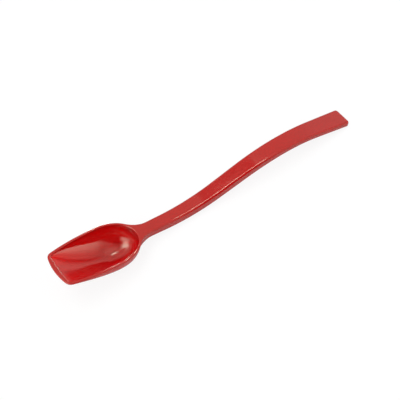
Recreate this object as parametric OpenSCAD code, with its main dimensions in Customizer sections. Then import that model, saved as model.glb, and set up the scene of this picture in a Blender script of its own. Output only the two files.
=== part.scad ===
// Serving spoon with a scoop bowl and a curved channel handle.
// The spoon is laid out level with its rim: x runs from the bowl's front corners to the end of the
// handle, y runs to the spoon's left and z = 0 is the rim's top face. It is then tipped nose up
// until it stands on the flat under its bowl and on the end of its handle.

/* [Bowl] */
// Length of the bowl, from the line through its front corners to the back of its rim
bowl_l = 64.4; // [59:0.2:69]
// Width over the rim where the bowl is widest
bowl_w = 36.4; // [33:0.2:41]
// Width over the two front corners
front_w = 28.8; // [26:0.2:31.6]
// Distance from the front corners to the widest place
widest_x = 40; // [36:0.5:44]
// Depth inside the bowl, below the rim's top face
bowl_depth = 16; // [13:0.5:18]
// How far the front edge bows out past its corners
lip_bow = 2.4; // [1.5:0.1:3.5]
// Length of the rounding beside each front corner
corner_round = 3; // [1.6:0.1:4]

/* [Rim and shell] */
// Width of the rim's flat top face
rim_w = 1.8; // [1.4:0.1:2.4]
// Height of the rim's upright edge
rim_h = 1.1; // [0.9:0.1:1.8]
// Thickness of the bowl's floor
floor_t = 2; // [1.6:0.1:3]
// How far the straight inner edge of the front lip lies behind the front corners
lip_inner_x = 1.2; // [0.6:0.1:1.8]
// Height taken off under the bowl by the flat that it stands on
flat_depth = 0.35; // [0.2:0.05:0.6]

/* [Neck] */
// Length of the neck's fillets beyond the back of the bowl
fillet_l = 9.6; // [7:0.2:14]
// Length of the neck beyond the back of the bowl
neck_l = 17.6; // [15.6:0.2:20]
// Angle round the back of the bowl at which the fillets leave it
fillet_angle = 54; // [46:1:60]

/* [Handle] */
// Length of the spoon, from its front corners to the end of its handle, level with the rim
spoon_l = 254.6; // [230:0.2:290]
// Width of the handle at the neck
neck_w = 9.8; // [8.4:0.1:11]
// Width of the handle at its end
end_w = 16.4; // [14:0.1:19]
// Radius of the corners at the end of the handle
end_r = 2.5; // [2.5:0.1:4.5]
// Thickness of the handle's top
top_t = 2.2; // [1.8:0.1:3]
// Thickness of the handle's sides
side_t = 2; // [1.6:0.1:2.4]
// Height of the handle over its sides, at the neck
neck_h = 6.2; // [5.4:0.1:7.4]
// Height of the handle over its sides, at its end
end_h = 4; // [3.8:0.1:5.2]
// Radius of the handle's upper edges
edge_r = 1.2; // [0.8:0.1:1.6]

/* [Handle curve] */
// Level length between the end of the neck and the start of the rise
level_l = 3.6; // [2:0.2:12]
// Radius of the hollow curve that starts the rise
rise_r = 130; // [110:1:150]
// Steepest slope of the handle
rise_angle = 20.9; // [18:0.1:25]
// Length of the straight stretch at that slope
straight_l = 22.2; // [10:0.2:30]
// Radius of the crown over the grip
crown_r = 154; // [135:1:180]
// Slope at which the end of the handle runs out straight
tail_angle = 5; // [2:0.5:9]

/* [Hidden] */

plastic = "firebrick";

// Steps along each stretch of the bowl's outline, and from its rim down to its lowest place
front_steps = 6;
corner_steps = 4;
side_steps = 9;
back_steps = 12;
depth_steps = 11;
// The front lip ends this many steps along each side
lip_side_steps = 0;
// Steps along the handle, round one of its end corners, along the neck and round an upper edge
handle_steps = 46;
end_steps = 6;
neck_steps = 12;
edge_steps = 4;
// Halvings used to find the tilt
tilt_steps = 24;

// Powers that set how full the curves are
side_power = 2.3;
back_power = 2.08;
// Fullness of the bowl's section along its sides, and at its back
side_section_power = 2.0;
back_section_power = 3.2;
ramp_power = 1.45;

half_turn_share = 0.5;
// Share of the fillet left off where it would thin out to nothing against the rim
fillet_start_share = 0.14;
// Upper edges of the neck grow from this share of edge_r to all of it
neck_edge_share = 0.25;
// Where along the handle its height starts to fall, and where it has fallen, as shares
fall_start_share = 0.36;
fall_end_share = 0.80;
// Deepest place of the bowl, as a share of the distance to its widest place
deepest_share = 0.95;
// Highest tilt looked at
steepest_tilt = 30;
// Room that a cutting block keeps beyond what it cuts
margin = 1;

deepest_x = widest_x * deepest_share;
fillet_end_x = bowl_l + fillet_l;
neck_end_x = bowl_l + neck_l;
rise_x = neck_end_x + level_l;
quarter = 90;
lip_step = front_steps + corner_steps + lip_side_steps;

// Outline of the bowl

// Half width along the bowl's side at x, for a side that is half_front wide at x_front
function side_y(x, x_front, half_front, half_max) =
    half_max - (half_max - half_front) * pow((widest_x - x) / (widest_x - x_front), side_power);

// Point part of the way along a curve with the ends a and b that leaves both towards k
function bend(a, k, b, share) =
    pow(1 - share, 2) * a + 2 * share * (1 - share) * k + pow(share, 2) * b;

function front_point(y, x_front, bow, half_front) = [x_front - bow * (1 - pow(y / half_front, 2)), y];

function back_point(angle, half_max, x_back) =
    [widest_x + (x_back - widest_x) * sin(angle), half_max * pow(cos(angle), 2 / back_power)];

// Left half of an outline, from the middle of the front to the middle of the back
function half_outline(x_front, bow, half_front, half_max, x_back, round_l) =
    let (y_round = half_front - round_l)
    let (x_round = x_front + round_l)
    let (corner_a = front_point(y_round, x_front, bow, half_front))
    let (corner_b = [x_round, side_y(x_round, x_front, half_front, half_max)])
    concat(
        [for (i = [0 : front_steps]) front_point(y_round * i / front_steps, x_front, bow, half_front)],
        [for (i = [1 : corner_steps - 1])
            bend(corner_a, [x_front, half_front], corner_b, i / corner_steps)],
        [for (i = [0 : side_steps])
            let (x = x_round + (widest_x - x_round) * i / side_steps)
            [x, side_y(x, x_front, half_front, half_max)]],
        [for (i = [1 : back_steps]) back_point(quarter * i / back_steps, half_max, x_back)]
    );

// Whole outline, from the middle of the front by the left side and the back
function whole_outline(half) =
    concat(half, [for (i = [len(half) - 2 : -1 : 1]) [half[i][0], -half[i][1]]]);

outer_outline = whole_outline(
    half_outline(0, lip_bow, front_w / 2, bowl_w / 2, bowl_l, corner_round)
);
inner_outline = whole_outline(
    half_outline(lip_inner_x, 0, front_w / 2 - rim_w, bowl_w / 2 - rim_w, bowl_l - rim_w, corner_round)
);
outline_size = len(outer_outline);

// Surfaces of the bowl

// Distance from the bowl's middle as a share of its half width, or of its back curve
function spread(x, y, x_front, half_front, half_max, x_back) =
    x < widest_x
    ? abs(y) / side_y(x, x_front, half_front, half_max)
    : pow(
        pow(abs(y) / half_max, back_power) + pow((x - widest_x) / (x_back - widest_x), back_power),
        1 / back_power
    );

// Share of the full depth that the floor has at x: it ramps down from the front edge
function ramp(x, x_edge) =
    x < widest_x ? 1 - pow(1 - max(0, (x - x_edge) / (widest_x - x_edge)), ramp_power) : 1;

function section_power(x, x_back) =
    side_section_power + (back_section_power - side_section_power)
        * pow(max(0, (x - widest_x) / (x_back - widest_x)), 2);

function section_share(spread_share, power) =
    pow(max(0, 1 - pow(min(1, spread_share), power)), 1 / power);

function shell_z(x, y, x_front, bow, half_front, half_max, x_back, depth) =
    let (x_edge = front_point(min(abs(y), half_front), x_front, bow, half_front)[0])
    -rim_h - depth * ramp(x, x_edge) *
        section_share(spread(x, y, x_front, half_front, half_max, x_back), section_power(x, x_back));

function outer_z(x, y) =
    shell_z(x, y, 0, lip_bow, front_w / 2, bowl_w / 2, bowl_l, bowl_depth - rim_h + floor_t);

function inner_z(x, y) =
    shell_z(x, y, lip_inner_x, 0, front_w / 2 - rim_w, bowl_w / 2 - rim_w, bowl_l - rim_w,
        bowl_depth - rim_h);

// Shares of the way out from the deepest place, close together where the wall is steep
function out_share(i) = cos(quarter * i / depth_steps);

function drawn_in(p, share) = [deepest_x + (p[0] - deepest_x) * share, p[1] * share];

outer_rings = [
    for (i = [depth_steps - 1 : -1 : 1])
        [for (p = outer_outline) let (q = drawn_in(p, out_share(i))) [q[0], q[1], outer_z(q[0], q[1])]]
];
inner_rings = [
    for (i = [1 : depth_steps - 1])
        [for (p = inner_outline) let (q = drawn_in(p, out_share(i))) [q[0], q[1], inner_z(q[0], q[1])]]
];
outer_bottom = [deepest_x, 0, outer_z(deepest_x, 0)];
inner_bottom = [deepest_x, 0, inner_z(deepest_x, 0)];

function at_height(outline, z) = [for (p = outline) [p[0], p[1], z]];

// Curve, width and height of the handle

rise_end_x = rise_x + rise_r * sin(rise_angle);
rise_end_z = rise_r * (1 - cos(rise_angle));
crown_start_x = rise_end_x + straight_l * cos(rise_angle);
crown_start_z = rise_end_z + straight_l * sin(rise_angle);
crown_x = crown_start_x + crown_r * sin(rise_angle);
crown_z = crown_start_z - crown_r * cos(rise_angle);
tail_x = crown_x + crown_r * sin(tail_angle);
tail_z = crown_z + crown_r * cos(tail_angle);

// Height of the handle's upper face: level, a hollow curve, a straight rise, the crown, a straight tail
function top_z(x) =
    x < rise_x ? 0
    : x < rise_end_x ? rise_r - sqrt(pow(rise_r, 2) - pow(x - rise_x, 2))
    : x < crown_start_x ? rise_end_z + (x - rise_end_x) * tan(rise_angle)
    : x < tail_x ? crown_z + sqrt(pow(crown_r, 2) - pow(x - crown_x, 2))
    : tail_z - (x - tail_x) * tan(tail_angle);

end_corner_x = spoon_l - end_r;

function half_width(x) =
    let (share = (min(x, end_corner_x) - fillet_end_x) / (end_corner_x - fillet_end_x))
    (neck_w + (end_w - neck_w) * share) / 2;

// Height from the upper face to the lower edge of the sides, falling smoothly along the handle
function side_h(x) =
    let (along = (x - neck_end_x) / (spoon_l - neck_end_x))
    let (fall = max(0, min(1, (along - fall_start_share) / (fall_end_share - fall_start_share))))
    neck_h - (neck_h - end_h) * (1 - cos(2 * quarter * fall)) * half_turn_share;

straight_stations = [
    for (i = [0 : handle_steps])
        let (x = neck_end_x + (end_corner_x - neck_end_x) * i / handle_steps)
        [x, half_width(x)]
];
end_stations = [
    for (i = [1 : end_steps])
        let (angle = quarter * i / end_steps)
        [end_corner_x + end_r * sin(angle), end_w / 2 - end_r * (1 - cos(angle))]
];

// Section of the handle's top at x, with rounded upper edges
function top_section(x, half, thickness, radius) =
    let (z = top_z(x))
    concat(
        [[x, half, z - thickness]],
        [for (i = [0 : edge_steps])
            let (angle = quarter * i / edge_steps)
            [x, half - radius * (1 - cos(angle)), z - radius * (1 - sin(angle))]],
        [for (i = [edge_steps : -1 : 0])
            let (angle = quarter * i / edge_steps)
            [x, -half + radius * (1 - cos(angle)), z - radius * (1 - sin(angle))]],
        [[x, -half, z - thickness]]
    );

// Upright section between an outer and an inner point of a side
function side_section(outer, inner) = [
    [outer[0], outer[1], top_z(outer[0]) - side_h(outer[0])],
    [outer[0], outer[1], top_z(outer[0]) - top_t],
    [inner[0], inner[1], top_z(inner[0]) - top_t],
    [inner[0], inner[1], top_z(inner[0]) - side_h(inner[0])]
];

function end_corner_point(angle, radius, side) =
    [end_corner_x + radius * sin(angle), side * (end_w / 2 - end_r + radius * cos(angle))];

// Fillets of the neck

fillet_a = back_point(fillet_angle, bowl_w / 2, bowl_l);
fillet_b = [fillet_end_x, half_width(fillet_end_x)];
// The curve leaves the rim along its outline and meets the handle's side along it
fillet_run = (fillet_a[1] - fillet_b[1]) / (bowl_w / 2) * back_power / 2
    * (bowl_l - widest_x) * pow(cos(fillet_angle), 2 - 2 / back_power) / sin(fillet_angle);
fillet_k = [fillet_a[0] + fillet_run, fillet_b[1]];

neck_stations = concat(
    [for (i = [0 : neck_steps])
        let (share = fillet_start_share + (1 - fillet_start_share) * i / neck_steps)
        bend(fillet_a, fillet_k, fillet_b, share)],
    [[neck_end_x, half_width(neck_end_x)]]
);

function neck_edge_r(x) =
    let (share = min(1, max(0, (x - fillet_a[0]) / (fillet_end_x - fillet_a[0]))))
    edge_r * (neck_edge_share + (1 - neck_edge_share) * share);

// Tilt at which the bowl and the end of the handle both reach the table

bowl_points = [for (ring = outer_rings) each ring];
end_points = [for (side = [-1, 1])
    [spoon_l, side * (end_w / 2 - end_r), top_z(spoon_l) - side_h(spoon_l)]];

function tipped_z(p, angle) = p[2] * cos(angle) - p[0] * sin(angle);

function tipped_x(p, angle) = p[0] * cos(angle) + p[2] * sin(angle);

function lowest(points, angle) = min([for (p = points) tipped_z(p, angle)]);

function tilt_between(low, high, steps) =
    let (middle = (low + high) / 2)
    steps == 0
    ? middle
    : lowest(bowl_points, middle) + flat_depth < lowest(end_points, middle)
    ? tilt_between(middle, high, steps - 1)
    : tilt_between(low, middle, steps - 1);

tilt = tilt_between(0, steepest_tilt, tilt_steps);
table_z = lowest(end_points, tilt);
front_x = min([for (p = concat(at_height(outer_outline, 0), at_height(outer_outline, -rim_h)))
    tipped_x(p, tilt)]);
rear_x = max(tipped_x([spoon_l, 0, top_z(spoon_l)], tilt), tipped_x(end_points[0], tilt));
middle_x = (front_x + rear_x) / 2;

module standing() {
    translate([-middle_x, 0, -table_z])
        rotate([0, tilt, 0])
            children();
}

// Solids from rings of points

function ring_faces(rows, size) = [
    for (j = [0 : rows - 2], i = [0 : size - 1])
        let (a = j * size + i)
        let (b = j * size + (i + 1) % size)
        each [[a, a + size, b + size], [a, b + size, b]]
];

// Solid through open rings, closed by a flat face at each end
module capped_solid(rings) {
    size = len(rings[0]);
    last = (len(rings) - 1) * size;
    polyhedron(
        points = [for (ring = rings) each ring],
        faces = concat(
            ring_faces(len(rings), size),
            [[for (i = [0 : size - 1]) i]],
            [[for (i = [size - 1 : -1 : 0]) last + i]]
        )
    );
}

// Solid through rings, closed by a fan to one point at each end
module fanned_solid(rings, first, last) {
    size = len(rings[0]);
    rows = len(rings);
    count = size * rows;
    polyhedron(
        points = concat([for (ring = rings) each ring], [first, last]),
        faces = concat(
            [for (f = ring_faces(rows, size)) [f[0], f[2], f[1]]],
            [for (i = [0 : size - 1]) [count, (i + 1) % size, i]],
            [for (i = [0 : size - 1])
                [count + 1, count - size + i, count - size + (i + 1) % size]]
        )
    );
}

// Rim section between the outer and the inner outline, at one step along them
function rim_section(step) =
    let (i = (step + outline_size) % outline_size)
    [
        [outer_outline[i][0], outer_outline[i][1], 0],
        [inner_outline[i][0], inner_outline[i][1], 0],
        [inner_outline[i][0], inner_outline[i][1], -rim_h],
        [outer_outline[i][0], outer_outline[i][1], -rim_h]
    ];

// Bowl without its hollow, up to a margin above the rim
module bowl_block() {
    fanned_solid(
        concat(outer_rings, [at_height(outer_outline, -rim_h), at_height(outer_outline, margin)]),
        outer_bottom,
        [deepest_x, 0, margin]
    );
}

// Parts of the spoon

// Shell of the bowl under its rim, cut flat where it stands
module bowl() {
    color(plastic)
        difference() {
            standing()
                fanned_solid(
                    concat(
                        outer_rings,
                        [at_height(outer_outline, -rim_h), at_height(inner_outline, -rim_h)],
                        inner_rings
                    ),
                    outer_bottom,
                    inner_bottom
                );
            translate([-spoon_l, -spoon_l, -spoon_l])
                cube([2 * spoon_l, 2 * spoon_l, spoon_l]);
        }
}

// Flat rim along both sides and the back
module bowl_rim() {
    color(plastic)
        standing()
            capped_solid([for (step = [lip_step : outline_size - lip_step]) rim_section(step)]);
}

// Bowed lip across the front, round to both corners
module front_lip() {
    color(plastic)
        standing()
            capped_solid([for (step = [-lip_step : lip_step]) rim_section(step)]);
}

// Web with a fillet on each side that joins the handle to the back of the bowl
module neck() {
    channel_x = bowl_l + side_t;
    channel_w = 2 * (half_width(neck_end_x) - side_t);
    color(plastic)
        standing()
            difference() {
                capped_solid([
                    for (s = neck_stations) top_section(s[0], s[1], neck_h, neck_edge_r(s[0]))
                ]);
                bowl_block();
                translate([channel_x, -channel_w / 2, -neck_h - margin])
                    cube([neck_end_x - channel_x + margin, channel_w, neck_h + margin - top_t]);
            }
}

// Curved top of the handle, widening to its rounded end
module handle_top() {
    color(plastic)
        standing()
            capped_solid([
                for (s = concat(straight_stations, end_stations)) top_section(s[0], s[1], top_t, edge_r)
            ]);
}

// One side of the handle, under its top
module handle_side() {
    color(plastic)
        standing()
            capped_solid([
                for (s = straight_stations) side_section([s[0], s[1]], [s[0], s[1] - side_t])
            ]);
}

module handle_left_side() {
    handle_side();
}

module handle_right_side() {
    mirror([0, 1, 0])
        handle_side();
}

// Wall under the rounded end of the handle, from side to side
module handle_end() {
    angles = [for (i = [0 : end_steps]) quarter * i / end_steps];
    color(plastic)
        standing()
            capped_solid(concat(
                [for (angle = angles)
                    side_section(
                        end_corner_point(angle, end_r, 1),
                        end_corner_point(angle, end_r - side_t, 1)
                    )],
                [for (i = [end_steps : -1 : 0])
                    side_section(
                        end_corner_point(angles[i], end_r, -1),
                        end_corner_point(angles[i], end_r - side_t, -1)
                    )]
            ));
}

bowl();
bowl_rim();
front_lip();
neck();
handle_top();
handle_left_side();
handle_right_side();
handle_end();
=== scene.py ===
import bmesh
import bpy
import numpy as np
from mathutils import Matrix, Vector


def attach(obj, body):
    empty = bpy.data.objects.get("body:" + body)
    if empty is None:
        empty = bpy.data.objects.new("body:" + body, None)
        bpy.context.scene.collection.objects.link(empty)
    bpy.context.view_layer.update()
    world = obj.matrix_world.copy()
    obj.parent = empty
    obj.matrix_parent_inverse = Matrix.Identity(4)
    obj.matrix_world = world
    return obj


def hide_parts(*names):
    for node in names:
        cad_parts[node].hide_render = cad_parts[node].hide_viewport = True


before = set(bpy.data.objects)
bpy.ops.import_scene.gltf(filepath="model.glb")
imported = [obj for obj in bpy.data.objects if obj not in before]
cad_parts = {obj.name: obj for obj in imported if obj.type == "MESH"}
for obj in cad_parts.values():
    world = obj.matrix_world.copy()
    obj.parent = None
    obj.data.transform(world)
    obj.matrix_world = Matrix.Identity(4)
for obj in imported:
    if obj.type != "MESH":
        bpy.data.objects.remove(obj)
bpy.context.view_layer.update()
print("stage: frame loaded")

# Shapes are worked out in millimetres with the spoon level on its rim: x from the bowl's front
# corners to the end of the handle, y to the spoon's left, z = 0 on the rim's top face.
# stand() then tips it nose up onto the table, as the CAD model stands.

stance = {
    "tilt": 9.87713,      # degrees, nose up
    "middleX": 126.117,   # goes to x = 0
    "tableZ": -24.8695,   # goes to z = 0
}

scoop = {
    "widestX": 40.0,
    "deepestX": 38.0,
    "depth": 16.0,
    "floor": 2.0,
    "rimHeight": 1.1,
    "cornerRound": 3.0,
    "sidePower": 2.3,
    "backPower": 2.08,
    "sideFullness": 2.0,
    "backFullness": 3.2,
    "rampPower": 1.45,
    "topRound": 0.55,     # radius of the rim's upper edges
    "lipRound": 0.5,      # radius where the front lip turns into the floor and the underside
    "lipFade": 1.4,       # how far along each side, in steps of the outline, the lip's shape fades
    "lipEnd": 2.0,        # the lip goes round both corners
    "flatSoftness": 0.05,  # how softly the flat under the bowl begins
    "steps": {
        "outline": (44, 14, 60, 72),  # half the front, a corner, a side and half the back
        "rim": (2, 6, 3, 6, 2),       # across the rim, in the order of rimSurface
        "inner": 60,
        "outer": 48,
    },
}
outerRing = {"frontX": 0.0, "bow": 2.4, "halfFront": 14.4, "halfMax": 18.2, "backX": 64.4}
innerRing = {"frontX": 1.2, "bow": 0.0, "halfFront": 12.6, "halfMax": 16.4, "backX": 62.6}

grip = {
    "length": 254.6,
    "neckEndX": 82.0,
    "filletEndX": 74.0,
    "filletAngle": 54.0,
    "neckWidth": 9.8,
    "endWidth": 16.4,
    "endRound": 2.5,
    "top": 2.2,
    "side": 2.0,
    "neckHeight": 6.2,
    "endHeight": 4.0,
    "fallStart": 0.36,
    "fallEnd": 0.80,
    "edgeRound": 1.6,
    "lowerRound": 0.35,   # radius of the lower edges of the sides
    "innerRound": 0.4,    # radius between the sides and the underside of the top
    "channelX": 66.4,
    "channelRamp": 0.7,   # length of the steep face that closes the channel at the neck
    "dip": 0.03,          # share by which the neck's foot is drawn in to the bowl's wall
    "dipDepth": 2.0,      # how far below the top the dip is whole
    "dipStart": 4.4,      # where along the neck's path it begins, and over what length it grows
    "dipLength": 0.6,
    "riseX": 85.6,
    "riseRadius": 130.0,
    "riseAngle": 20.9,
    "straight": 22.2,
    "crownRadius": 154.0,
    "tailAngle": 5.0,
    "steps": {
        "end": 12,
        "corner": 18,
        "side": 190,
        "neck": (24, 60),                             # the straight stretch and the fillet
        "neckSection": (24, 6, 8, 6, 9, 4, 3, 4, 5),  # in the order of neckSection
        "topEdge": (8, 3),                            # in the order of topStrip
        "sideSection": (6, 4, 3, 4, 5, 4),            # in the order of sideStrip
        "ledge": 4,
    },
}


def stand(x, y, z):
    # x' = x cos a + z sin a - middleX, z' = z cos a - x sin a - tableZ, then millimetres to metres
    a = np.radians(stance["tilt"])
    points = [
        x * np.cos(a) + z * np.sin(a) - stance["middleX"],
        y + 0 * x,
        z * np.cos(a) - x * np.sin(a) - stance["tableZ"],
    ]
    return np.stack(np.broadcast_arrays(*points), axis=-1) / 1000


def ease(share):
    # 0 to 1 with level ends: s s (3 - 2 s)
    s = np.clip(share, 0, 1)
    return s * s * (3 - 2 * s)


def bend(q, first, middle, last):
    # Quadratic bend: (1 - q)^2 first + 2 q (1 - q) middle + q q last
    return (1 - q) ** 2 * first + 2 * q * (1 - q) * middle + q * q * last


def fillet(gap, radius):
    # Height of a quarter round against a wall, a gap away from it: r - sqrt(r r - (r - gap)^2)
    inside = radius - np.clip(gap, 0, radius)
    return radius - np.sqrt(np.maximum(0, radius ** 2 - inside ** 2))


# Pieces: each is a list of sheets, and a sheet is a surface of two parameters on a grid


def sheet(surface, us, vs, flip=False, slopes=None):
    # Points of surface(u, v) on the grid us by vs, and its normals from the cross product of
    # small differences along u and v, one-sided at the ends of the grid, or of the given slopes
    step = 1e-4
    u, v = np.meshgrid(us, vs, indexing="ij")
    uLow, uHigh = np.maximum(u - step, us.min()), np.minimum(u + step, us.max())
    vLow, vHigh = np.maximum(v - step, vs.min()), np.minimum(v + step, vs.max())
    if slopes:
        alongU, alongV = slopes(u, v)
    else:
        alongU = surface(uHigh, (vLow + vHigh) / 2) - surface(uLow, (vLow + vHigh) / 2)
        alongV = surface((uLow + uHigh) / 2, vHigh) - surface((uLow + uHigh) / 2, vLow)
    normals = np.cross(alongU, alongV)
    normals /= np.maximum(np.linalg.norm(normals, axis=-1, keepdims=True), 1e-30)
    rows, columns = u.shape
    corner = (np.arange(rows - 1)[:, None] * columns + np.arange(columns - 1)).ravel()
    quads = np.stack([corner, corner + columns, corner + columns + 1, corner + 1], axis=1)
    if flip:
        quads, normals = quads[:, ::-1], -normals
    points = surface(u, v)
    return {"points": points.reshape(-1, 3), "normals": normals.reshape(-1, 3), "faces": quads}


def zipCap(loop, flip=False):
    # Closes a loop of points with a ladder of quads between its first and its second half
    count = len(loop)
    first = np.arange(count // 2 - 1)
    quads = np.stack([first, first + 1, count - 2 - first, count - 1 - first], axis=1)
    if flip:
        quads = quads[:, ::-1]
    a, b, c = (loop[quads[:, i]] for i in range(3))
    faceNormals = np.cross(b - a, c - a).sum(axis=0)
    faceNormals /= np.linalg.norm(faceNormals)
    return {"points": loop, "normals": np.tile(faceNormals, (count, 1)), "faces": quads}


def flatCap(loop, flip=False):
    # Closes a flat loop of points with one face
    points = loop[::-1] if flip else loop
    middle = points.mean(axis=0)
    normal = np.cross(points - middle, np.roll(points, -1, axis=0) - middle).sum(axis=0)
    normal /= np.linalg.norm(normal)
    return {
        "points": points,
        "normals": np.tile(normal, (len(points), 1)),
        "faces": np.arange(len(points))[None],
    }


mergeDistance = 3e-8   # metres between points of two sheets that are one point
sharpGap = 0.02        # difference between normals that makes an edge sharp


def keepNormals(mesh, normals):
    # Gives the corners of the faces their own normals, with a sharp edge wherever the normals on
    # the two sides of an edge differ. A normal more than 45 degrees off its face gives way to
    # the face's own.
    starts = np.empty(len(mesh.polygons), np.int32)
    totals = np.empty(len(mesh.polygons), np.int32)
    square = np.empty(len(mesh.polygons) * 3, np.float32)
    mesh.polygons.foreach_get("loop_start", starts)
    mesh.polygons.foreach_get("loop_total", totals)
    mesh.polygons.foreach_get("normal", square)
    square = np.repeat(square.reshape(-1, 3), totals, axis=0)
    off = (normals * square).sum(axis=1) < np.sqrt(0.5)
    normals = np.where(off[:, None], square, normals)
    following = np.arange(len(mesh.loops)) + 1
    following[starts + totals - 1] = starts
    edges = np.empty(len(mesh.loops), np.int32)
    mesh.loops.foreach_get("edge_index", edges)
    one, other = np.argsort(edges, kind="stable").reshape(-1, 2).T
    gaps = np.maximum(
        np.abs(normals[one] - normals[following[other]]).max(axis=1),
        np.abs(normals[following[one]] - normals[other]).max(axis=1),
    )
    sharp = np.zeros(len(mesh.edges), bool)
    sharp[edges[one]] = gaps > sharpGap
    mesh.polygons.foreach_set("use_smooth", np.ones(len(mesh.polygons), bool))
    mesh.edges.foreach_set("use_edge_sharp", sharp)
    mesh.normals_split_custom_set(normals)


def makePiece(name, nodes, sheets, material):
    # Joins the sheets, merges the points that they share and keeps every sheet's own normals
    offsets = np.cumsum([0] + [len(part["points"]) for part in sheets])
    points = np.concatenate([part["points"] for part in sheets])
    faces = [part["faces"] + start for part, start in zip(sheets, offsets)]
    corners = np.concatenate([quads.ravel() for quads in faces])
    normals = np.concatenate([part["normals"] for part in sheets])[corners]
    mesh = bpy.data.meshes.new(name)
    mesh.from_pydata(points, [], [face for quads in faces for face in quads.tolist()])
    ways = mesh.attributes.new("way", "FLOAT_VECTOR", "CORNER")
    ways.data.foreach_set("vector", normals.ravel().astype(np.float32))
    work = bmesh.new()
    work.from_mesh(mesh)
    bmesh.ops.remove_doubles(work, verts=work.verts, dist=mergeDistance)
    work.to_mesh(mesh)
    work.free()
    kept = np.empty(len(mesh.loops) * 3, np.float32)
    mesh.attributes["way"].data.foreach_get("vector", kept)
    mesh.attributes.remove(mesh.attributes["way"])
    keepNormals(mesh, kept.reshape(-1, 3))
    mesh.materials.append(material)
    piece = bpy.data.objects.new(name, mesh)
    bpy.context.scene.collection.objects.link(piece)
    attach(piece, "root")
    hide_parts(*nodes)
    print("stage: made", name, len(mesh.polygons), "faces")


def spaced(low, high, count):
    return np.linspace(low, high, count + 1)


def joined(*stretches):
    # Parameter values of several stretches in a row, each shared end kept once
    return np.concatenate([stretches[0]] + [stretch[1:] for stretch in stretches[1:]])


def inSteps(counts, start=0):
    # Parameter values from start on, each count of steps taking up a length of 1
    return joined(*(spaced(start + i, start + i + 1, count) for i, count in enumerate(counts)))


# Outline of the bowl


def sideY(x, ring):
    # halfMax - (halfMax - halfFront) ((widestX - x) / (widestX - frontX))^sidePower
    share = np.clip((scoop["widestX"] - x) / (scoop["widestX"] - ring["frontX"]), 0, None)
    return ring["halfMax"] - (ring["halfMax"] - ring["halfFront"]) * share ** scoop["sidePower"]


def frontX(y, ring):
    # The front edge bows out as a parabola: frontX - bow (1 - (y / halfFront)^2)
    return ring["frontX"] - ring["bow"] * (1 - (y / ring["halfFront"]) ** 2)


def wrapped(t):
    # The bowl's outline closes after 8, at the middle of the back
    return (t + 4) % 8 - 4


def outline(t, ring):
    # |t| from 0 to 1 runs along the front, to 2 round the corner as a quadratic bend, to 3 along
    # the side and to 4 round the back as a superellipse; the sign of t is the side
    t = wrapped(t)
    s = np.abs(t)
    yRound = ring["halfFront"] - scoop["cornerRound"]
    xRound = ring["frontX"] + scoop["cornerRound"]
    yFront = yRound * np.clip(s, 0, 1)
    q = np.clip(s - 1, 0, 1)
    cornerX = bend(q, frontX(yRound, ring), ring["frontX"], xRound)
    cornerY = bend(q, yRound, ring["halfFront"], sideY(xRound, ring))
    sideX = xRound + (scoop["widestX"] - xRound) * np.clip(s - 2, 0, 1)
    angle = np.radians(90 * np.clip(s - 3, 0, 1))
    backX = scoop["widestX"] + (ring["backX"] - scoop["widestX"]) * np.sin(angle)
    backY = ring["halfMax"] * np.maximum(0, np.cos(angle)) ** (2 / scoop["backPower"])
    x = np.select([s < 1, s < 2, s < 3], [frontX(yFront, ring), cornerX, sideX], backX)
    y = np.select([s < 1, s < 2, s < 3], [yFront, cornerY, sideY(sideX, ring)], backY)
    return x, np.sign(t) * np.where(s > 4 - 1e-9, 0, y)


def shellZ(x, y, ring, depth):
    # -rimHeight - depth ramp (1 - spread^p)^(1/p): the ramp falls from the front edge to the
    # widest place, and spread is the share of the way out to the side or to the back curve
    wide = scoop["widestX"]
    edge = frontX(np.minimum(np.abs(y), ring["halfFront"]), ring)
    along = np.clip((x - edge) / (wide - edge), 0, 1)
    ramp = 1 - (1 - along) ** scoop["rampPower"]
    beyond = np.clip((x - wide) / (ring["backX"] - wide), 0, 1)
    p = scoop["backPower"]
    spread = np.where(
        x < wide,
        np.abs(y) / sideY(x, ring),
        ((np.abs(y) / ring["halfMax"]) ** p + beyond ** p) ** (1 / p),
    )
    spread = np.where(spread > 1 - 1e-9, 1, spread)
    fullness = scoop["sideFullness"] + (scoop["backFullness"] - scoop["sideFullness"]) * beyond ** 2
    return -scoop["rimHeight"] - depth * ramp * (1 - spread ** fullness) ** (1 / fullness)


def lipWeight(t):
    # 1 across the front, falling to 0 part of the way along each side
    return 1 - ease((np.abs(wrapped(t)) - 1) / scoop["lipFade"])


def bowlSurface(ring, depth, standsFlat):
    # Rings drawn in from the outline towards the deepest place by sin(90 v), on the shell's
    # height; the front edge gets its round and the underside its flat
    def surface(t, v):
        outX, outY = outline(t, ring)
        share = np.sin(np.radians(90 * v))
        x = scoop["deepestX"] + (outX - scoop["deepestX"]) * share
        y = outY * share
        gap = (1 - share) * np.hypot(outX - scoop["deepestX"], outY)
        edgeError = shellZ(outX, outY, ring, depth) + scoop["rimHeight"]
        z = shellZ(x, y, ring, depth) - edgeError * np.exp(-gap)
        z = z + lipWeight(t) * fillet(gap, scoop["lipRound"])
        points = stand(x, y, z)
        if standsFlat:
            soft = scoop["flatSoftness"] / 1000
            height = np.clip(points[..., 2], -soft, soft)
            points[..., 2] = np.maximum(points[..., 2], (height + soft) ** 2 / (4 * soft))
        return points

    return surface


def rimLine(t, inset):
    # Points of the rim's top face at a distance inside the outer outline, towards the inner one
    outX, outY = outline(t, outerRing)
    inX, inY = outline(t, innerRing)
    width = np.hypot(outX - inX, outY - inY)
    return outX + (inX - outX) * inset / width, outY + (inY - outY) * inset / width


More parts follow.
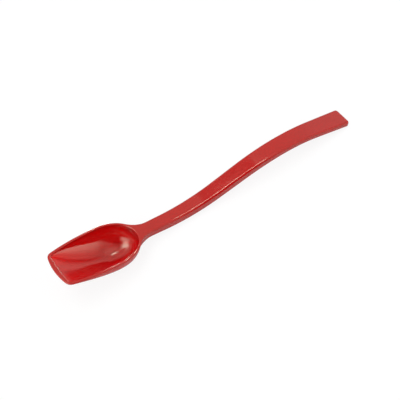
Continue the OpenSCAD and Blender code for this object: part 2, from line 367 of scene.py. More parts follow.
def rimSurface(t, v):
    # Section of the rim: v 0 to 1 up the inner band, to 2 over the inner edge, to 3 across the
    # top, to 4 over the outer edge and to 5 down the outer band
    outX, outY = outline(t, outerRing)
    inX, inY = outline(t, innerRing)
    width = np.hypot(outX - inX, outY - inY)
    r = scoop["topRound"]
    low = scoop["rimHeight"] - lipWeight(t) * scoop["lipRound"]
    q = v - np.clip(np.floor(v), 0, 4)
    turn = np.radians(90 * q)
    across = np.select(
        [v < 1, v < 2, v < 3, v < 4],
        [0 * q, r * (1 - np.cos(turn)), r + (width - 2 * r) * q, width - r * (1 - np.sin(turn))],
        width,
    )
    down = np.select(
        [v < 1, v < 2, v < 3, v < 4],
        [low + (r - low) * q, r * (1 - np.sin(turn)), 0 * q, r * (1 - np.cos(turn))],
        r + (low - r) * q,
    )
    share = across / width
    return stand(inX + (outX - inX) * share, inY + (outY - inY) * share, -down)


def rimUnderside(t, v):
    # Flat band between the lower ends of the inner and the outer band, where the shell begins
    inX, inY = outline(t, innerRing)
    outX, outY = outline(t, outerRing)
    low = scoop["rimHeight"] - lipWeight(t) * scoop["lipRound"]
    return stand(inX + (outX - inX) * v, inY + (outY - inY) * v, -low)


# Handle


def topZ(x):
    # Level, a hollow arc, a straight rise, the arc of the crown and a straight tail
    rise, tail = np.radians(grip["riseAngle"]), np.radians(grip["tailAngle"])
    hollow, crown = grip["riseRadius"], grip["crownRadius"]
    riseEndX = grip["riseX"] + hollow * np.sin(rise)
    riseEndZ = hollow * (1 - np.cos(rise))
    crownStartX = riseEndX + grip["straight"] * np.cos(rise)
    crownX = crownStartX + crown * np.sin(rise)
    crownZ = riseEndZ + grip["straight"] * np.sin(rise) - crown * np.cos(rise)
    tailX = crownX + crown * np.sin(tail)
    return np.select(
        [x < grip["riseX"], x < riseEndX, x < crownStartX, x < tailX],
        [
            0 * x,
            hollow - np.sqrt(np.maximum(0, hollow ** 2 - (x - grip["riseX"]) ** 2)),
            riseEndZ + (x - riseEndX) * np.tan(rise),
            crownZ + np.sqrt(np.maximum(0, crown ** 2 - (x - crownX) ** 2)),
        ],
        crownZ + crown * np.cos(tail) - (x - tailX) * np.tan(tail),
    )


def sideHeight(x):
    # Falls from neckHeight to endHeight along the handle as half a cosine wave
    along = (x - grip["neckEndX"]) / (grip["length"] - grip["neckEndX"])
    fall = np.clip((along - grip["fallStart"]) / (grip["fallEnd"] - grip["fallStart"]), 0, 1)
    drop = grip["neckHeight"] - grip["endHeight"]
    return grip["neckHeight"] - drop * (1 - np.cos(np.pi * fall)) / 2


def handleCorner():
    # Centre of the round at a corner of the handle's end, the slope of the handle's side and the
    # point where the side touches the round
    cornerX = grip["length"] - grip["endRound"]
    cornerY = grip["endWidth"] / 2 - grip["endRound"]
    slope = (grip["endWidth"] - grip["neckWidth"]) / 2 / (cornerX - grip["filletEndX"])
    lean = np.arctan(slope)
    touchX = cornerX - grip["endRound"] * np.sin(lean)
    return cornerX, cornerY, slope, touchX, cornerY + grip["endRound"] * np.cos(lean)


def halfWidth(x):
    # A straight side, which touches the round at the end of the handle
    slope, touchX, touchY = handleCorner()[2:]
    return touchY + (x - touchX) * slope


def filletStart():
    # Point of the bowl's outline where the neck's fillet leaves it
    x, y = outline(np.array(3 + grip["filletAngle"] / 90), outerRing)
    return float(x), float(y)


def filletBend():
    # Where the outline's tangent at the fillet's start meets the line of the handle's side
    startX, startY = filletStart()
    turn = np.radians(grip["filletAngle"])
    p = scoop["backPower"]
    slope = (outerRing["backX"] - scoop["widestX"]) * np.cos(turn) ** (2 - 2 / p) / np.sin(turn)
    run = (startY - halfWidth(grip["filletEndX"])) / outerRing["halfMax"] * p / 2 * slope
    return startX + run, halfWidth(grip["filletEndX"])


def planEdge(q):
    # Edge of the handle seen from above, from the middle of its end: |q| to 1 along the end, to 2
    # round its corner, to 3 along the side, to 4 along the neck and to 5 round the neck's fillet,
    # a quadratic bend. Gives the points and the outward direction, square to the path.
    s = np.abs(q)
    cornerX, flat, slope, sideStartX = handleCorner()[:4]
    turn = (np.pi / 2 + np.arctan(slope)) * np.clip(s - 1, 0, 1)
    sideX = sideStartX + (grip["neckEndX"] - sideStartX) * np.clip(s - 2, 0, 1)
    neckX = grip["neckEndX"] + (grip["filletEndX"] - grip["neckEndX"]) * np.clip(s - 3, 0, 1)
    b = np.clip(s - 4, 0, 1)
    lastX, lastY = grip["filletEndX"], halfWidth(grip["filletEndX"])
    startX, startY = filletStart()
    bendX, bendY = filletBend()
    filletX, filletY = bend(b, lastX, bendX, startX), bend(b, lastY, bendY, startY)
    runX = (1 - b) * (bendX - lastX) + b * (startX - bendX)
    runY = (1 - b) * (bendY - lastY) + b * (startY - bendY)
    stretches = [s <= 1, s < 2, s < 3, s < 4]
    one = 0 * s + 1
    x = np.select(
        stretches,
        [grip["length"] * one, cornerX + grip["endRound"] * np.cos(turn), sideX, neckX],
        filletX,
    )
    y = np.select(
        stretches,
        [flat * s, flat + grip["endRound"] * np.sin(turn), halfWidth(sideX), halfWidth(neckX)],
        filletY,
    )
    runX = np.select(stretches, [0 * s, -np.sin(turn), -one, -one], runX)
    runY = np.select(stretches, [one, np.cos(turn), -slope * one, -slope * one], runY)
    length = np.hypot(runX, runY)
    side = np.sign(q)
    return x, side * y, runY / length, -np.where(side < 0, -1, 1) * runX / length


def edgeRound(q):
    # Radius of the upper edges: it shrinks along the neck's fillet to the rim's own radius
    share = ease(np.abs(q) - 4)
    return grip["edgeRound"] + (scoop["topRound"] - grip["edgeRound"]) * share


def inset(q, distance, down):
    # Point a distance inside the path and a height below the handle's upper face
    x, y, outX, outY = planEdge(q)
    x, y = x - outX * distance, y - outY * distance
    return stand(x, y, topZ(x) - down)


def topStrip(q, v):
    # v 0 to 1 over the upper edge as a quarter round, to 2 down to the underside of the top
    r = edgeRound(q)
    turn = np.radians(90 * np.clip(v, 0, 1))
    down = np.where(v < 1, r * (1 - np.cos(turn)), r + (grip["top"] - r) * (v - 1))
    return inset(q, r * (1 - np.sin(turn)), down)


def topLedge(q, v):
    # Underside of the top, from its edge in to the foot of the inner round
    return inset(q, (grip["side"] + grip["innerRound"]) * v, grip["top"])


def topFace(qs, cs, distance, down, flip=False):
    # Lines straight across the handle between the two edges, a distance inside the path
    def lines(q, c):
        x, y, outX, outY = planEdge(q)
        return x - outX * distance, c * (y - outY * distance)

    def surface(q, c):
        x, y = lines(q, c)
        return stand(x, y, topZ(x) - down)

    def slopes(q, c):
        # Backwards along the handle's curve, and straight across it
        x, y = lines(q, c)
        step = 1e-3
        backwards = stand(x - step, y, topZ(x - step)) - stand(x + step, y, topZ(x + step))
        return backwards, np.broadcast_to([0.0, 1.0, 0.0], backwards.shape)

    return sheet(surface, qs, cs, flip=flip, slopes=slopes)


def sideStrip(q, v):
    # Section of a side: v 0 to 1 down the outside, to 2 round the outer lower edge, to 3 across,
    # to 4 round the inner lower edge, to 5 up the inside and to 6 round to the underside
    x = planEdge(q)[0]
    h, r, f = sideHeight(x), grip["lowerRound"], grip["innerRound"]
    top, wall = grip["top"], grip["side"]
    s = v - np.clip(np.floor(v), 0, 5)
    turn = np.radians(90 * s)
    stretches = [v < 1, v < 2, v < 3, v < 4, v < 5]
    distance = np.select(
        stretches,
        [
            0 * s,
            r * (1 - np.cos(turn)),
            r + (wall - 2 * r) * s,
            wall - r * (1 - np.sin(turn)),
            wall + 0 * s,
        ],
        wall + f * (1 - np.cos(turn)),
    )
    down = np.select(
        stretches,
        [
            top + (h - r - top) * s,
            h - r * (1 - np.sin(turn)),
            h + 0 * s,
            h - r * (1 - np.cos(turn)),
            h - r + (top + f - h + r) * s,
        ],
        top + f * (1 - np.sin(turn)),
    )
    return inset(q, distance, down)


def neckSection(k, edgeY, rounds):
    # Half section of the neck: k to 1 across the top, to 2 over the upper edge, to 3 down the
    # side, to 4 round the lower edge, to 5 across, to 6 round the channel's edge, to 7 up its
    # wall, to 8 round to its ceiling and to 9 across that. Gives y, and the height below the top
    # with the channel open and with it closed.
    part = np.clip(np.floor(k), 0, 8)
    m = k - part
    turn = np.radians(90 * m)
    upper, low, inner = rounds
    deep, ceiling = grip["neckHeight"], grip["top"]
    channelY = halfWidth(grip["neckEndX"]) - grip["side"]
    stretches = [part == i for i in range(8)]
    y = np.select(
        stretches,
        [
            m * edgeY,
            edgeY,
            edgeY,
            edgeY,
            edgeY + (channelY + low - edgeY) * m,
            channelY + low * (1 - np.sin(turn)),
            channelY + 0 * m,
            channelY - inner * (1 - np.cos(turn)),
        ],
        (channelY - inner) * (1 - m),
    )
    down = np.select(
        stretches,
        [
            0 * m,
            upper * (1 - np.cos(turn)),
            upper + (deep - low - upper) * m,
            deep - low * (1 - np.sin(turn)),
            deep + 0 * m,
            deep - low * (1 - np.cos(turn)),
            deep - low + (ceiling + inner - deep + low) * m,
            ceiling + inner * (1 - np.sin(turn)),
        ],
        ceiling + 0 * m,
    )
    return y, down, np.where(part < 5, down, deep)


def neckSurface(q, k):
    # The neck's section carried from the handle (|q| = 3) to the rim (|q| = 5). On the way its
    # lines across bulge back to follow the rim, and below the rim they dip into the bowl's wall.
    x, y, outX, outY = planEdge(q)
    upper, low = edgeRound(q), grip["lowerRound"]
    part, turn = np.clip(np.floor(np.abs(k)), 0, 8), np.radians(90 * (np.abs(k) % 1))
    distance = np.select(
        [part == 0, part == 1, part == 2, part == 3],
        [upper, upper * (1 - np.sin(turn)), 0 * turn, low * (1 - np.cos(turn))],
        low,
    )
    edgeX, edgeY = x - outX * distance, y - outY * distance
    rounds = (upper, low, grip["innerRound"])
    across, opened, closed = neckSection(np.abs(k), edgeY, rounds)
    near = ease((q - 3) / 2)
    share = np.clip(across / edgeY, 0, 1)
    filletT = np.array(3 + grip["filletAngle"] / 90)
    lineX, lineY = rimLine(4 - (4 - filletT) * share, scoop["topRound"])
    startX, startY = rimLine(filletT, scoop["topRound"])
    across = np.where(part == 0, edgeY * (lineY / startY * near + share * (1 - near)), across)
    wallStartX, wallStartY = filletStart()
    backShare = share * wallStartY / outerRing["halfMax"]
    backX = np.sqrt(1 - backShare ** scoop["backPower"])
    wallX = scoop["widestX"] + (outerRing["backX"] - scoop["widestX"]) * backX
    bulge = np.select([part == 0, part < 4], [lineX - startX, 0 * share], wallX - wallStartX)
    along = edgeX + bulge * near
    channel = ease((along - grip["channelX"]) / grip["channelRamp"])
    down = closed + (opened - closed) * channel
    dip = grip["dip"] * ease(down / grip["dipDepth"])
    dip = dip * ease((q - grip["dipStart"]) / grip["dipLength"])
    along = along - (along - scoop["deepestX"]) * dip
    return stand(along, np.sign(k) * across * (1 - dip), -down)


# Materials


def feed(tree, socket, value):
    # Links a socket to another one, or gives it a plain value
    if isinstance(value, bpy.types.NodeSocket):
        tree.links.new(value, socket)
    else:
        socket.default_value = value


def mathNode(tree, operation, *values):
    node = tree.nodes.new("ShaderNodeMath")
    node.operation = operation
    for socket, value in zip(node.inputs, values):
        feed(tree, socket, value)
    return node.outputs[0]


def vectorNode(tree, operation, *values):
    node = tree.nodes.new("ShaderNodeVectorMath")
    node.operation = operation
    for socket, value in zip(node.inputs, values):
        feed(tree, socket, value)
    return node.outputs["Value" if operation == "DOT_PRODUCT" else "Vector"]


def rising(tree, value, low, high):
    # 0 below low, 1 above high, and a smooth step between them
    node = tree.nodes.new("ShaderNodeMapRange")
    node.interpolation_type = "SMOOTHSTEP"
    feed(tree, node.inputs["Value"], value)
    feed(tree, node.inputs["From Min"], low)
    feed(tree, node.inputs["From Max"], high)
    return node.outputs["Result"]


def noise(tree, vector, scale, detail, roughness):
    node = tree.nodes.new("ShaderNodeTexNoise")
    feed(tree, node.inputs["Vector"], vector)
    feed(tree, node.inputs["Scale"], scale)
    node.inputs["Detail"].default_value = detail
    node.inputs["Roughness"].default_value = roughness
    return node.outputs["Fac"]


mouldingPattern = {
    "waves": (2.5, 0.45),       # detail and roughness of each noise
    "skin": (1.5, 0.5),
    "hairs": (3.0, 0.7),
    "clouds": (3.0, 0.6),
    "cloudScale": 0.45,         # clouds to a wave
    "hairlines": (0.56, 0.74),  # values of the noise between which each comes in
    "smudges": (0.45, 0.75),
    "drift": (0.3, 0.7),
    "smudgeShare": 0.45,        # how rubbed a smudge is, against a hairline
}


def buildMoulding():
    # Moulded plastic: slow waves where the wall has shrunk, a fine skin from the mould, hairlines
    # from handling and a slight drift of the colour along the flow
    tree = bpy.data.node_groups.new("mouldedSkin", "ShaderNodeTree")
    inputs = {
        "Colour": ("NodeSocketColor", (0.5, 0.5, 0.5, 1)),
        "Drift Colour": ("NodeSocketColor", (0.5, 0.5, 0.5, 1)),
        "Wave Size": ("NodeSocketVector", (1, 1, 1)),
        "Wave Height": ("NodeSocketFloat", 0.0),
        "Skin Size": ("NodeSocketFloat", 1.0),
        "Skin Height": ("NodeSocketFloat", 0.0),
        "Hairline Size": ("NodeSocketVector", (1, 1, 1)),
        "Smooth": ("NodeSocketFloat", 0.05),
        "Rubbed": ("NodeSocketFloat", 0.1),
    }
    for name, (kind, value) in inputs.items():
        tree.interface.new_socket(name, in_out="INPUT", socket_type=kind).default_value = value
    outputs = {
        "Colour": "NodeSocketColor",
        "Roughness": "NodeSocketFloat",
        "Height": "NodeSocketFloat",
    }
    for name, kind in outputs.items():
        tree.interface.new_socket(name, in_out="OUTPUT", socket_type=kind)
    given, result = tree.nodes.new("NodeGroupInput"), tree.nodes.new("NodeGroupOutput")
    place = tree.nodes.new("ShaderNodeTexCoord").outputs["Object"]
    pattern = mouldingPattern
    inWaves = vectorNode(tree, "DIVIDE", place, given.outputs["Wave Size"])
    inHairs = vectorNode(tree, "DIVIDE", place, given.outputs["Hairline Size"])
    skinScale = mathNode(tree, "DIVIDE", 1.0, given.outputs["Skin Size"])
    wave = noise(tree, inWaves, 1.0, *pattern["waves"])
    skin = noise(tree, place, skinScale, *pattern["skin"])
    hair = noise(tree, inHairs, 1.0, *pattern["hairs"])
    cloud = noise(tree, inWaves, pattern["cloudScale"], *pattern["clouds"])
    height = mathNode(
        tree, "MULTIPLY_ADD", wave, given.outputs["Wave Height"],
        mathNode(tree, "MULTIPLY", skin, given.outputs["Skin Height"]),
    )
    lines = rising(tree, hair, *pattern["hairlines"])
    smudge = mathNode(
        tree, "MULTIPLY", rising(tree, cloud, *pattern["smudges"]), pattern["smudgeShare"]
    )
    rubbed = mathNode(tree, "MAXIMUM", lines, smudge)
    roughness = tree.nodes.new("ShaderNodeMapRange")
    feed(tree, roughness.inputs["Value"], rubbed)
    feed(tree, roughness.inputs["To Min"], given.outputs["Smooth"])
    feed(tree, roughness.inputs["To Max"], given.outputs["Rubbed"])
    blend = tree.nodes.new("ShaderNodeMix")
    blend.data_type = "RGBA"
    feed(tree, blend.inputs[0], rising(tree, cloud, *pattern["drift"]))
    feed(tree, blend.inputs[6], given.outputs["Colour"])
    feed(tree, blend.inputs[7], given.outputs["Drift Colour"])
    feed(tree, result.inputs["Colour"], blend.outputs[2])
    feed(tree, result.inputs["Roughness"], roughness.outputs["Result"])
    feed(tree, result.inputs["Height"], height)
    return tree


moulding = buildMoulding()

# Sizes in metres; heights are shares of the bump's distance
plastic = {
    "ior": 1.5,
    "sheen": (1.0, 0.98, 0.78, 1),  # tint of the reflections
    "bumpDistance": 0.0001,
    "moulding": {
        "Colour": (0.455, 0.0045, 0.0055, 1),
        "Drift Colour": (0.475, 0.0055, 0.0065, 1),
        "Wave Size": (0.012, 0.012, 0.012),
        "Wave Height": 0.25,
        "Skin Size": 0.0009,
        "Skin Height": 0.006,
        "Hairline Size": (0.006, 0.0005, 0.0005),
        "Smooth": 0.06,
        "Rubbed": 0.14,
    },
}


def redPlastic(name, own, scatter):
    # The common plastic, with a piece's own values of the moulded skin and of scattered light
    material = bpy.data.materials.new(name)
    material.use_nodes = True
    tree = material.node_tree
    shader = tree.nodes["Principled BSDF"]
    shader.inputs["IOR"].default_value = plastic["ior"]
    shader.inputs["Specular Tint"].default_value = plastic["sheen"]
    for socketName, value in scatter.items():
        shader.inputs[socketName].default_value = value
    group = tree.nodes.new("ShaderNodeGroup")
    group.node_tree = moulding
    for socketName, value in {**plastic["moulding"], **own}.items():
        group.inputs[socketName].default_value = value
    bump = tree.nodes.new("ShaderNodeBump")
    bump.inputs["Distance"].default_value = plastic["bumpDistance"]
    tree.links.new(group.outputs["Height"], bump.inputs["Height"])
    tree.links.new(group.outputs["Colour"], shader.inputs["Base Color"])
    tree.links.new(group.outputs["Roughness"], shader.inputs["Roughness"])
    tree.links.new(bump.outputs["Normal"], shader.inputs["Normal"])
    return material


# Light spreads inside the bowl's thin wall; the rim and the handle are left without it, so that
# no seam shows between pieces
bowlPlastic = redPlastic("redBowlPlastic", own={}, scatter={
    "Subsurface Weight": 1.0,
    "Subsurface Radius": (1.0, 0.12, 0.1),
    "Subsurface Scale": 0.009,
})
rimPlastic = redPlastic("redRimPlastic", own={"Wave Height": 0.12}, scatter={})
handlePlastic = redPlastic("redHandlePlastic", scatter={}, own={
    "Wave Size": (0.007, 0.0045, 0.007),
    "Wave Height": 0.15,
    "Hairline Size": (0.007, 0.0005, 0.0006),
    "Smooth": 0.07,
})

# Bowl

steps = scoop["steps"]
halfRound = inSteps(steps["outline"])
fullRound = np.concatenate([-halfRound[:0:-1], halfRound])
innerDepth = scoop["depth"] - scoop["rimHeight"]
inside = bowlSurface(innerRing, innerDepth, standsFlat=False)
outside = bowlSurface(outerRing, innerDepth + scoop["floor"], standsFlat=True)
makePiece(
    "bowlShell",
    ["bowl"],
    [
        sheet(inside, fullRound, spaced(0, 1, steps["inner"])),
        sheet(outside, fullRound, spaced(0, 1, steps["outer"]), flip=True),
        sheet(rimUnderside, fullRound, spaced(0, 1, 1)),
    ],
    bowlPlastic,
)
rimAcross = inSteps(steps["rim"])


def rimPiece(name, node, ts):
    def section(t):
        return rimSurface(np.full(len(rimAcross), t), rimAcross)

    sheets = [
        sheet(rimSurface, ts, rimAcross),
        sheet(rimUnderside, ts, spaced(0, 1, 1), flip=True),
        flatCap(section(ts[0])),
        flatCap(section(ts[-1]), flip=True),
    ]
    makePiece(name, [node], sheets, rimPlastic)


lipEnd = scoop["lipEnd"]
lipTs = fullRound[np.abs(fullRound) <= lipEnd]
rimPiece("frontLip", "front_lip", lipTs)
backTs = np.concatenate([fullRound[fullRound >= lipEnd], 8 + fullRound[fullRound <= -lipEnd][1:]])
rimPiece("bowlRim", "bowl_rim", backTs)

# Neck

steps = grip["steps"]
neckQs = inSteps(steps["neck"], start=3)
halfNeck = inSteps(steps["neckSection"])
wholeNeck = np.concatenate([-halfNeck[:0:-1], halfNeck])


def neckLoop(q, side):
    return neckSurface(np.full(len(halfNeck), q), side * halfNeck)


makePiece(
    "neckWeb",
    ["neck"],
    [
        sheet(neckSurface, neckQs, wholeNeck, flip=True),
        flatCap(neckSurface(np.full(len(wholeNeck) - 1, 3.0), wholeNeck[:-1]), flip=True),
        zipCap(neckLoop(5.0, 1)),
        zipCap(neckLoop(5.0, -1), flip=True),
    ],
    handlePlastic,
)

# Handle

sideQs = spaced(2, 3, steps["side"])
cornerQs = spaced(1, 2, steps["corner"])
endQs = spaced(-1, 1, 2 * steps["end"])
halfEnd = joined(cornerQs, sideQs)
wholeEnd = joined(-halfEnd[::-1], endQs, halfEnd)
topVs = inSteps(steps["topEdge"])
ledgeVs = spaced(0, 1, steps["ledge"])
sideVs = inSteps(steps["sideSection"])
ledgeIn = grip["side"] + grip["innerRound"]
faceCs = spaced(-1, 1, 2 * steps["end"])
upperFace = topFace(halfEnd, faceCs, grip["edgeRound"], 0.0, flip=True)
underFace = topFace(halfEnd, faceCs, ledgeIn, grip["top"])


def topLoop():
    # Half section of the handle's top at the neck, from the middle of its upper face round to
    # the middle of its lower face
    halfAcross = slice(steps["end"], None)
    upper, under = (
        face["points"].reshape(len(halfEnd), len(faceCs), 3)[-1, halfAcross]
        for face in (upperFace, underFace)
    )
    q = halfEnd[-1]
    return np.concatenate([
        upper,
        topStrip(np.full(len(topVs), q), topVs)[1:],
        topLedge(np.full(len(ledgeVs), q), ledgeVs)[1:],
        under[::-1][1:],
    ])


def mirrored(points):
    return points * np.array([1, -1, 1])


makePiece(
    "handleTop",
    ["handle_top"],
    [
        sheet(topStrip, wholeEnd, topVs, flip=True),
        sheet(topLedge, wholeEnd, ledgeVs, flip=True),
        upperFace,
        underFace,
        flatCap(np.concatenate([topLoop(), mirrored(topLoop())[-2:0:-1]])),
    ],
    handlePlastic,
)


def sidePiece(name, node, qs):
    def section(q):
        return np.concatenate([
            sideStrip(np.full(len(sideVs), q), sideVs),
            topLedge(np.full(len(ledgeVs), q), ledgeVs[::-1])[1:-1],
        ])

    sheets = [
        sheet(sideStrip, qs, sideVs, flip=True),
        sheet(topLedge, qs, ledgeVs),
        flatCap(section(qs[0]), flip=True),
        flatCap(section(qs[-1])),
    ]
    makePiece(name, [node], sheets, handlePlastic)


sidePiece("handleLeftSide", "handle_left_side", sideQs)
sidePiece("handleRightSide", "handle_right_side", -sideQs[::-1])
sidePiece("handleEnd", "handle_end", joined(-cornerQs[::-1], endQs, cornerQs))

# Floor, light and camera

floorValues = {
    "half": 4.0,
    "drop": 0.0002,
    "glow": 0.85,         # how far the floor glows by itself, for the camera
    "glossyGlow": 0.08,   # and for reflections
    "glowStrength": 1.035,
    "colour": (0.83, 0.83, 0.83, 1),
    "roughness": 0.9,
}


def seenBy(tree, **shares):
    # The share given for the kind of ray that looks, and 0 for any other kind
    paths = tree.nodes.new("ShaderNodeLightPath")
    kinds = {
        "camera": "Is Camera Ray",
        "glossy": "Is Glossy Ray",
        "transmission": "Is Transmission Ray",
    }
    total = None
    for kind, share in shares.items():
        part = mathNode(tree, "MULTIPLY", paths.outputs[kinds[kind]], share)
        total = part if total is None else mathNode(tree, "MAXIMUM", total, part)
    return total


def stageFloor():
    half = floorValues["half"]
    mesh = bpy.data.meshes.new("floor")
    corners = [(-half, -half), (half, -half), (half, half), (-half, half)]
    mesh.from_pydata([(x, y, -floorValues["drop"]) for x, y in corners], [], [(0, 1, 2, 3)])
    floor = bpy.data.objects.new("floor", mesh)
    bpy.context.scene.collection.objects.link(floor)
    material = bpy.data.materials.new("paleFloor")
    material.use_nodes = True
    tree = material.node_tree
    shader = tree.nodes["Principled BSDF"]
    shader.inputs["Base Color"].default_value = floorValues["colour"]
    shader.inputs["Roughness"].default_value = floorValues["roughness"]
    glow = tree.nodes.new("ShaderNodeEmission")
    glow.inputs["Strength"].default_value = floorValues["glowStrength"]
    mix = tree.nodes.new("ShaderNodeMixShader")
    amount = seenBy(
        tree,
        camera=floorValues["glow"],
        glossy=floorValues["glossyGlow"],
        transmission=floorValues["glow"],
    )
    feed(tree, mix.inputs[0], amount)
    tree.links.new(shader.outputs[0], mix.inputs[1])
    tree.links.new(glow.outputs[0], mix.inputs[2])
    tree.links.new(mix.outputs[0], tree.nodes["Material Output"].inputs["Surface"])
    mesh.materials.append(material)


# The studio as the spoon sees it, by azimuth and elevation in degrees: white walls, a broad light
# low on one side, softboxes overhead, and the dim gaps between them
studio = {
    "wall": 0.96,
    "diffuseLevel": 0.595,
    "horizon": {
        "cut": 0.45, "azimuth": -14.0, "half": 50.0, "soft": 6.0, "low": 8.0, "high": 32.0,
    },
    "overhead": {"level": 0.55, "low": 60.0, "high": 70.0},
    "sideLight": {
        "add": 2.4, "azimuth": -44.6, "half": 23.9, "soft": 17.9, "low": 5.0, "high": 53.0,
        "farShare": 0.15,   # how much of it the reflections on pieces other than the bowl keep
    },
    "gaps": [
        {"cut": 0.88, "azimuth": 14.6, "half": 5.2, "soft": 7.0, "low": 24.0, "high": 51.0},
        {"cut": 0.81, "azimuth": 45.2, "half": 13.0, "soft": 3.5, "low": 2.0, "high": 12.0},
    ],
    "nearSide": {
        "cut": 0.92, "azimuth": -95.0, "half": 28.0, "soft": 6.0, "low": 76.0, "high": 88.0,
    },
    "softboxes": [
        {"add": 10.7, "azimuth": 54.8, "elevation": 62.9, "wide": 4.4, "high": 2.7, "soft": 0.5},
        {"add": 1.0, "azimuth": 15.0, "elevation": 72.0, "wide": 17.0, "high": 8.0, "soft": 0.6},
        {"add": 5.6, "azimuth": 138.0, "elevation": 70.0, "wide": 22.0, "high": 14.0, "soft": 0.4},
        {"add": 2.9, "azimuth": -158.0, "elevation": 42.0, "wide": 22.0, "high": 28.0, "soft": 0.3},
        {"add": 2.5, "azimuth": 115.0, "elevation": 72.0, "wide": 10.0, "high": 11.0, "soft": 0.5},
    ],
    "slot": {
        "level": 0.45, "azimuth": 80.0, "wide": 13.0, "elevation": 61.5, "high": 2.2, "soft": 0.7,
    },
}


def below(tree, value, low, high):
    return mathNode(tree, "SUBTRACT", 1.0, rising(tree, value, low, high))


def bandOf(tree, value, centre, half, soft):
    # 1 within half of the centre, and soft edges
    up = rising(tree, value, centre - half - soft, centre - half + soft)
    down = below(tree, value, centre + half - soft, centre + half + soft)
    return mathNode(tree, "MULTIPLY", up, down)


def cutBy(tree, level, cut, mask):
    # level (1 - cut mask)
    return mathNode(tree, "MULTIPLY", level, mathNode(tree, "MULTIPLY_ADD", mask, -cut, 1.0))


def patchMask(tree, azimuth, elevation, patch):
    # 1 in a band of azimuths from the ground up to a height, and soft edges
    return mathNode(
        tree, "MULTIPLY", bandOf(tree, azimuth, patch["azimuth"], patch["half"], patch["soft"]),
        below(tree, elevation, patch["low"], patch["high"]),
    )


def softboxMask(tree, direction, box):
    # 1 inside an ellipse about the softbox's direction, fading across its edge
    a, e = np.radians(box["azimuth"]), np.radians(box["elevation"])
    centre = np.array([np.cos(e) * np.cos(a), np.cos(e) * np.sin(a), np.sin(e)])
    level = np.array([-np.sin(a), np.cos(a), 0])
    upward = np.cross(centre, level)
    wide, high = (
        mathNode(tree, "DIVIDE", vectorNode(tree, "DOT_PRODUCT", direction, way), reach)
        for way, reach in (
            (level, np.sin(np.radians(box["wide"]))), (upward, np.sin(np.radians(box["high"])))
        )
    )
    square = mathNode(tree, "MULTIPLY_ADD", wide, wide, mathNode(tree, "MULTIPLY", high, high))
    away = mathNode(tree, "SQRT", square)
    facing = mathNode(tree, "GREATER_THAN", vectorNode(tree, "DOT_PRODUCT", direction, centre), 0.0)
    return mathNode(tree, "MULTIPLY", facing, below(tree, away, 1 - box["soft"], 1 + box["soft"]))


def anglesOf(tree, direction):
    # Azimuth and elevation in degrees of a direction of length 1
    split = tree.nodes.new("ShaderNodeSeparateXYZ")
    feed(tree, split.inputs[0], direction)
    x, y, z = split.outputs
    azimuth = mathNode(tree, "DEGREES", mathNode(tree, "ARCTAN2", y, x))
    return azimuth, mathNode(tree, "DEGREES", mathNode(tree, "ARCSINE", z))


def stageWorld():
    # Reflections get the studio's pattern at full strength, diffuse light a share of it, and the
    # camera plain white
    world = bpy.data.worlds.new("studio")
    bpy.context.scene.world = world
    world.use_nodes = True
    tree = world.node_tree
    direction = tree.nodes.new("ShaderNodeTexCoord").outputs["Generated"]
    azimuth, elevation = anglesOf(tree, direction)

    over, far = studio["overhead"], studio["horizon"]
    level = mathNode(
        tree, "MULTIPLY_ADD", rising(tree, elevation, over["low"], over["high"]),
        over["level"] - studio["wall"], studio["wall"],
    )
    lower = below(tree, elevation, far["low"], far["high"])
    front = bandOf(tree, azimuth, far["azimuth"], far["half"], far["soft"])
    mask = mathNode(tree, "MULTIPLY", lower, mathNode(tree, "SUBTRACT", 1.0, front))
    level = cutBy(tree, level, far["cut"], mask)
    for gap in studio["gaps"]:
        level = cutBy(tree, level, gap["cut"], patchMask(tree, azimuth, elevation, gap))
    side, near = studio["sideLight"], studio["nearSide"]
    dimmed = seenBy(tree, glossy=1 - side["farShare"])
    lit = cutBy(tree, patchMask(tree, azimuth, elevation, side), 1.0, dimmed)
    level = mathNode(tree, "MULTIPLY_ADD", lit, side["add"], level)
    level = cutBy(tree, level, near["cut"], patchMask(tree, azimuth, elevation, near))
    for box in studio["softboxes"]:
        level = mathNode(tree, "MULTIPLY_ADD", softboxMask(tree, direction, box), box["add"], level)
    slot = studio["slot"]
    mask = mathNode(
        tree, "MULTIPLY", bandOf(tree, azimuth, slot["azimuth"], slot["wide"], slot["soft"]),
        bandOf(tree, elevation, slot["elevation"], slot["high"], slot["soft"]),
    )
    toSlot = mathNode(tree, "SUBTRACT", slot["level"], level)
    level = mathNode(tree, "MULTIPLY_ADD", mask, toSlot, level)

    light = tree.nodes["Background"]
    shown, white = (tree.nodes.new("ShaderNodeBackground") for _ in range(2))
    for background in (light, shown, white):
        background.inputs["Color"].default_value = (1, 1, 1, 1)
    feed(tree, light.inputs["Strength"], mathNode(tree, "MULTIPLY", level, studio["diffuseLevel"]))
    feed(tree, shown.inputs["Strength"], level)
    reflected, backdrop = (tree.nodes.new("ShaderNodeMixShader") for _ in range(2))
    feed(tree, reflected.inputs[0], seenBy(tree, glossy=1.0, transmission=1.0))
    tree.links.new(light.outputs[0], reflected.inputs[1])
    tree.links.new(shown.outputs[0], reflected.inputs[2])
    feed(tree, backdrop.inputs[0], seenBy(tree, camera=1.0))
    tree.links.new(reflected.outputs[0], backdrop.inputs[1])
    tree.links.new(white.outputs[0], backdrop.inputs[2])
    tree.links.new(backdrop.outputs[0], tree.nodes["World Output"].inputs["Surface"])


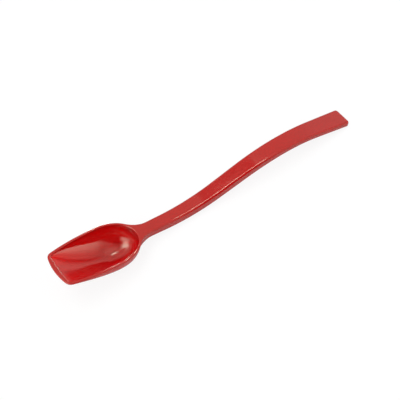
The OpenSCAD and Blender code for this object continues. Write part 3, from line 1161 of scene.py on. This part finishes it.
# Four lamps that only show in reflections, each on the pieces near it: a strip close above the
# handle, panels that draw the inner edges of the front lip and of the rim, and the side light as
# the bowl sees it
edgeStrip = {
    "place": (0.057, 0.095, 0.322),
    "target": (0.02, -0.006, 0.04),
    "size": (0.18, 0.06),
    "radiance": 15.0,
    "pieces": ["neckWeb", "handleTop", "handleLeftSide", "handleRightSide", "handleEnd"],
}
lipPanel = {
    "place": (0.259, 0.24, 0.233),
    "target": (-0.125, 0.0, 0.022),
    "size": (0.16, 0.32),
    "radiance": 13.0,
    "pieces": ["frontLip"],
}
rimPanel = {
    "place": (0.0048, 0.1358, 0.1098),
    "target": (-0.087, -0.017, 0.019),
    "size": (0.016, 0.09),
    "radiance": 65.0,
    "pieces": ["bowlRim"],
}
sideLamp = {
    "place": (0.62, -0.60, 0.47),
    "target": (-0.085, 0.0, 0.012),
    "size": (1.7, 1.1),
    "radiance": 1.0,
    "pieces": ["bowlShell"],
}


def aimed(place, target):
    # At the place, with local -Z towards the target and local Y upwards
    place = Vector(place)
    turn = (place - Vector(target)).to_track_quat("Z", "Y").to_matrix().to_4x4()
    return Matrix.Translation(place) @ turn


def reflectedLamp(name, values):
    data = bpy.data.lights.new(name, "AREA")
    data.shape = "RECTANGLE"
    data.size, data.size_y = values["size"]
    data.energy = values["radiance"] * np.pi * data.size * data.size_y
    lamp = bpy.data.objects.new(name, data)
    bpy.context.scene.collection.objects.link(lamp)
    lamp.matrix_world = aimed(values["place"], values["target"])
    lamp.visible_camera = False
    lamp.visible_diffuse = False
    reached = bpy.data.collections.new(name + "Reach")
    for piece in values["pieces"]:
        reached.objects.link(bpy.data.objects[piece])
    lamp.light_linking.receiver_collection = reached
    return data


def stageSideLamp():
    # The side light's pattern by direction from the bowl, less what the world still shows of it
    data = reflectedLamp("sideLamp", sideLamp)
    data.use_nodes = True
    tree = data.node_tree
    side, near = studio["sideLight"], studio["nearSide"]
    place = tree.nodes.new("ShaderNodeNewGeometry").outputs["Position"]
    away = vectorNode(tree, "SUBTRACT", place, sideLamp["target"])
    azimuth, elevation = anglesOf(tree, vectorNode(tree, "NORMALIZE", away))
    rest = side["add"] * (1 - side["farShare"])
    lit = mathNode(tree, "MULTIPLY", patchMask(tree, azimuth, elevation, side), rest)
    level = cutBy(tree, lit, near["cut"], patchMask(tree, azimuth, elevation, near))
    feed(tree, tree.nodes["Emission"].inputs["Strength"], level)


view = {
    "place": (-0.21966, -0.307198, 0.539073),
    "target": (-0.0090775, 0.0, 0.0063587),
    "roll": -1.771,        # degrees
    "lens": 80.48,         # mm
    "sensor": 36.0,        # mm
    "clip": (0.01, 50.0),
}


def stageCamera():
    data = bpy.data.cameras.new("camera")
    data.sensor_width = view["sensor"]
    data.lens = view["lens"]
    data.clip_start, data.clip_end = view["clip"]
    camera = bpy.data.objects.new("camera", data)
    bpy.context.scene.collection.objects.link(camera)
    roll = Matrix.Rotation(np.radians(view["roll"]), 4, "Z")
    camera.matrix_world = aimed(view["place"], view["target"]) @ roll
    bpy.context.scene.camera = camera


stageFloor()
stageWorld()
reflectedLamp("edgeStrip", edgeStrip)
reflectedLamp("lipPanel", lipPanel)
reflectedLamp("rimPanel", rimPanel)
stageSideLamp()
stageCamera()
bpy.context.scene.view_settings.view_transform = "Standard"
print("stage: floor, world, lamps and camera")
